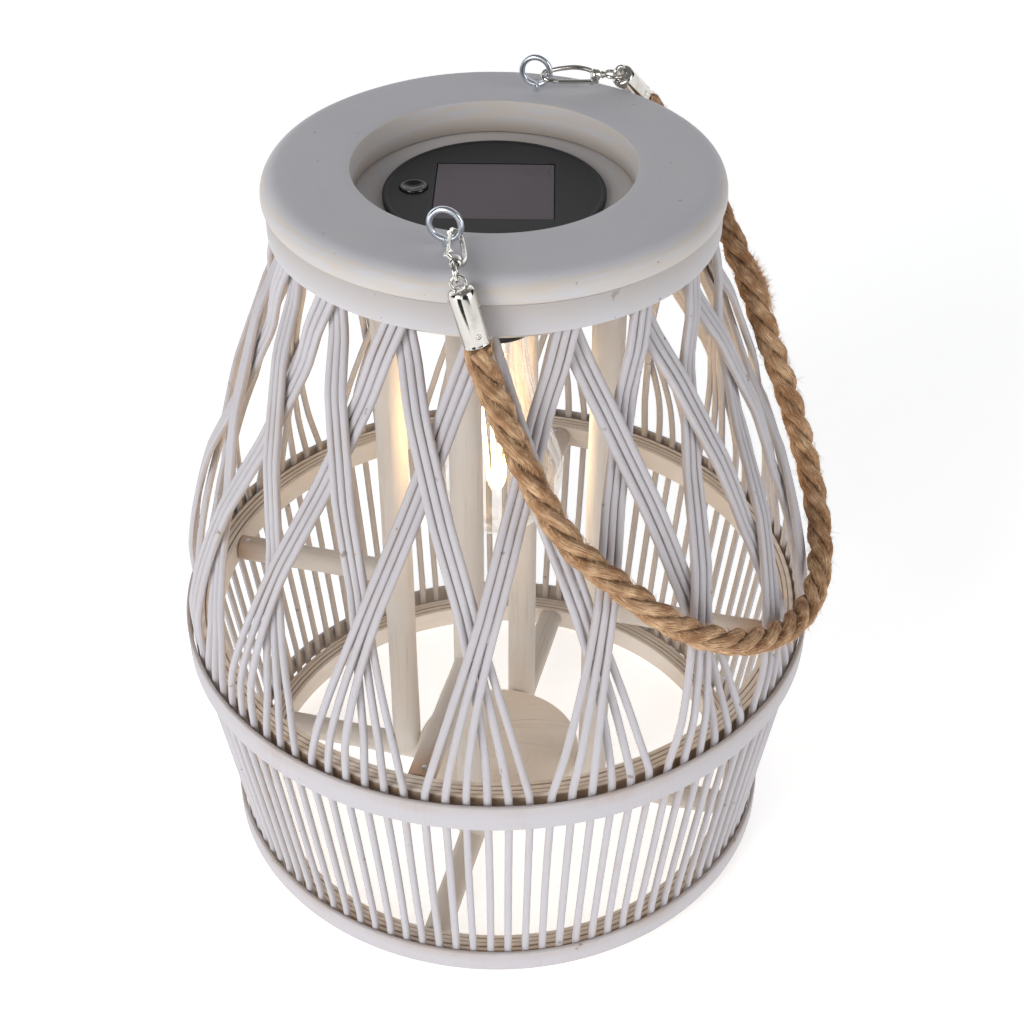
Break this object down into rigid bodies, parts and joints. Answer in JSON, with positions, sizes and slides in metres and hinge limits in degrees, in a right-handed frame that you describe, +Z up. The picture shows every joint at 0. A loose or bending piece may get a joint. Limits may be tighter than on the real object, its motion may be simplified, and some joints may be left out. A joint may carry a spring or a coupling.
{
  "type": "hanging lantern",
  "caption": "Woven cane lantern on two hoops with a lift-out solar lamp in a wooden top ring and a jute rope handle on snap hooks.",
  "frame": {"origin": "on the lantern's axis, on the surface it stands on", "axes": "+Z up the lantern's axis; the two screw eyes lie on the Y axis; the handle rests over the +X side"},
  "size_m": [0.2883, 0.2805, 0.3484],
  "materials": {
    "painted_wood": "thin white brushed paint, matt",
    "painted_cane": "white-washed split cane, satin",
    "raw_cane": "laminated cane, inner side left raw",
    "pale_pole": "thinly white-washed round poles",
    "black_plastic": "fine matt texture",
    "gloss_black": "glossy moulded button",
    "solar_cell": "cells under clear resin with fine lines",
    "circuit_board": "plain board",
    "battery_wrap": "plain shrink sleeve",
    "nickel": "nickel plated, lightly worn",
    "zinc": "blue zinc plated wire",
    "clear_glass": "clear blown glass",
    "warm_light": "lit filament strips",
    "jute": "three-strand twisted jute, hairy"
  },
  "bodies": {
    "basket": {"stick_group_01": "painted_cane", "stick_group_02": "painted_cane", "stick_group_03": "painted_cane", "stick_group_04": "painted_cane", "stick_group_05": "painted_cane", "stick_group_06": "painted_cane", "stick_group_07": "painted_cane", "stick_group_08": "painted_cane", "stick_group_09": "painted_cane", "stick_group_10": "painted_cane", "stick_group_11": "painted_cane", "stick_group_12": "painted_cane", "stick_group_13": "painted_cane", "stick_group_14": "painted_cane", "stick_group_15": "painted_cane", "stick_group_16": "painted_cane", "stick_group_17": "painted_cane", "mid_hoop_outer": "painted_cane", "mid_hoop_inner": "raw_cane", "bottom_hoop_outer": "painted_cane", "bottom_hoop_inner": "raw_cane", "base_bar_x": "pale_pole", "base_bar_y": "pale_pole", "centre_plate": "pale_pole", "post_right": "pale_pole", "post_back": "pale_pole", "post_left": "pale_pole", "post_front": "pale_pole", "mid_strut_right": "pale_pole", "mid_strut_back": "pale_pole", "mid_strut_left": "pale_pole", "mid_strut_front": "pale_pole", "top_ring": "painted_wood", "ring_band": "painted_wood", "binding_hoop": "raw_cane", "module_seat": "painted_wood", "screw_eye_front": "zinc", "screw_eye_back": "zinc"},
    "module": {"solar_housing": "black_plastic", "solar_panel": "solar_cell", "circuit_board": "circuit_board", "battery": "battery_wrap", "housing_base": "black_plastic", "lamp_socket": "black_plastic", "bulb_cap": "nickel", "bulb_glass": "clear_glass", "led_filament": "warm_light"},
    "button": {"power_button": "gloss_black"},
    "handle": {"snap_hook_front": "nickel", "swivel_link_front": "nickel", "ferrule_front": "nickel", "snap_hook_back": "nickel", "swivel_link_back": "nickel", "ferrule_back": "nickel", "handle_rope": "jute"},
    "gate_front": {"hook_gate_front": "nickel"},
    "gate_back": {"hook_gate_back": "nickel"}
  },
  "joints": [
    {"name": "handle_swing", "type": "hinge", "parent": "basket", "child": "handle", "pos_m": [0, 0, 0.3415], "axis": [0, -1, 0], "range_deg": [0, 180]},
    {"name": "module_lift", "type": "slide", "parent": "basket", "child": "module", "axis": [0, 0, 1], "range_m": [0, 0.18]},
    {"name": "button_press", "type": "slide", "parent": "module", "child": "button", "axis": [0, 0, -1], "range_m": [0, 0.0012], "stiffness_N_per_m": 700, "springref_m": -0.0006},
    {"name": "gate_front_open", "type": "hinge", "parent": "handle", "child": "gate_front", "pos_m": [0.00613, -0.08455, 0.34066], "axis": [-0.6916, -0.2082, -0.6916], "range_deg": [0, 18], "stiffness_Nm_per_rad": 0.02, "springref_deg": -8.59},
    {"name": "gate_back_open", "type": "hinge", "parent": "handle", "child": "gate_back", "pos_m": [0.02257, 0.07222, 0.33722], "axis": [-0.246, 0.3109, -0.9181], "range_deg": [0, 18], "stiffness_Nm_per_rad": 0.02, "springref_deg": -8.59}
  ]
}
